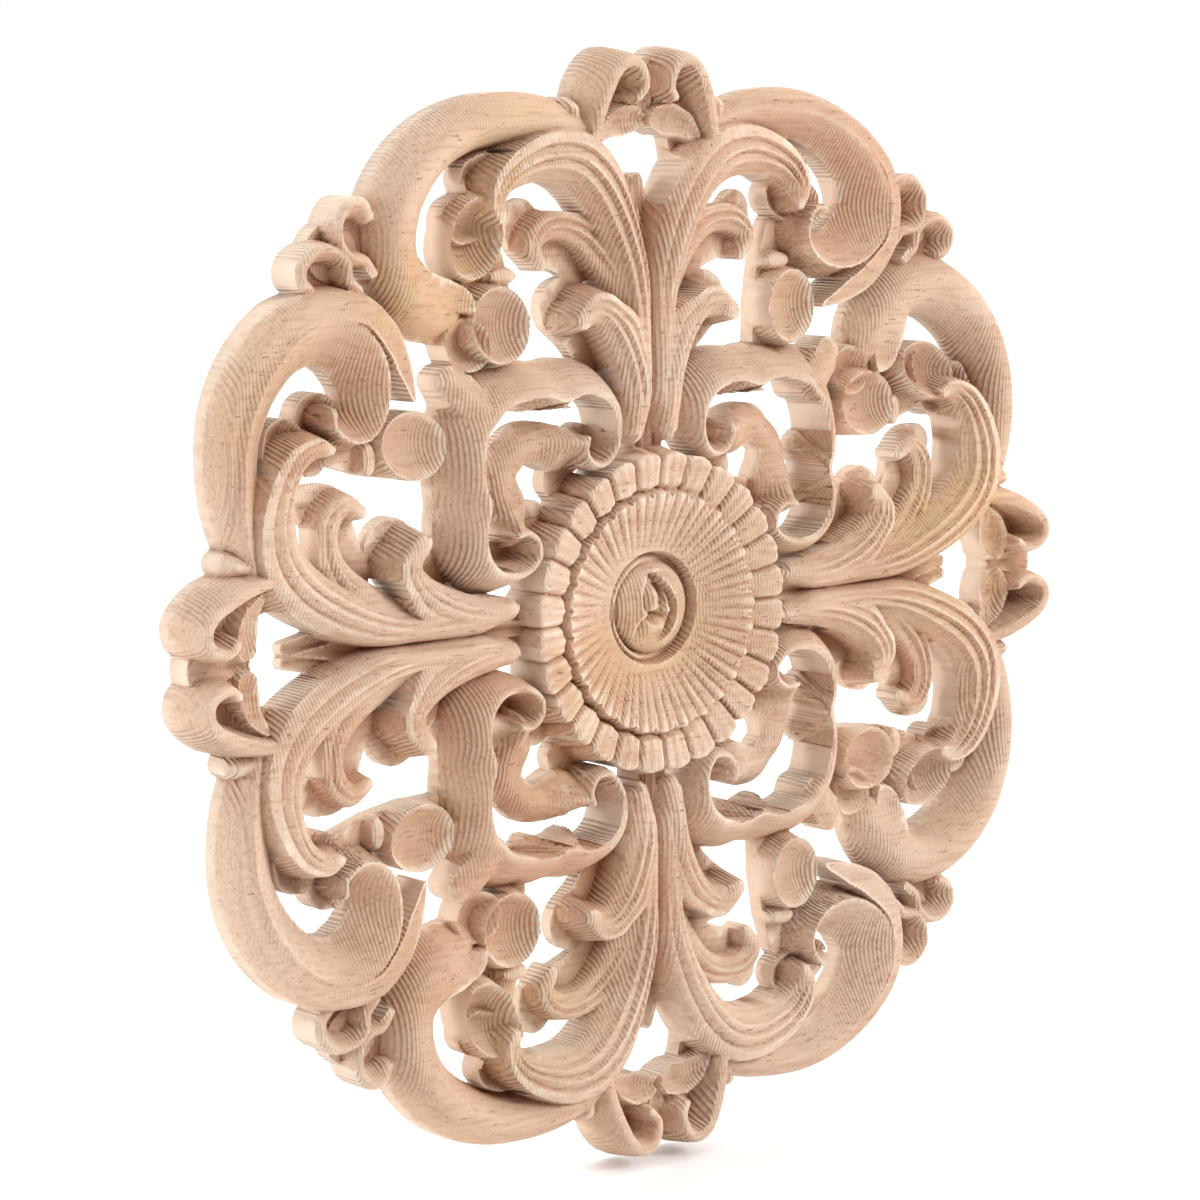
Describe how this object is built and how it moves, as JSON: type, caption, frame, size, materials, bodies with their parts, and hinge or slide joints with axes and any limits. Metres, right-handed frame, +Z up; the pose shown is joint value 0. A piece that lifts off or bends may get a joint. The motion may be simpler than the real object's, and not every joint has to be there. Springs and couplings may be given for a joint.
{
  "type": "carved wood applique",
  "caption": "Round pierced applique of carved unfinished hardwood, with a petalled rosette, acanthus leaves and C-scrolls on a flat back, to be fixed to a panel or wall.",
  "frame": {"origin": "centre of the flat back, on the back face", "axes": "+Y is the outward normal of the flat back, so the carving faces -Y; +Z is up and +X is to the right seen from the front"},
  "size_m": [0.2972, 0.017, 0.2972],
  "materials": {
    "wood": "bare, machine carved, unsanded"
  },
  "bodies": {
    "root": {"applique": "wood"}
  },
  "joints": []
}
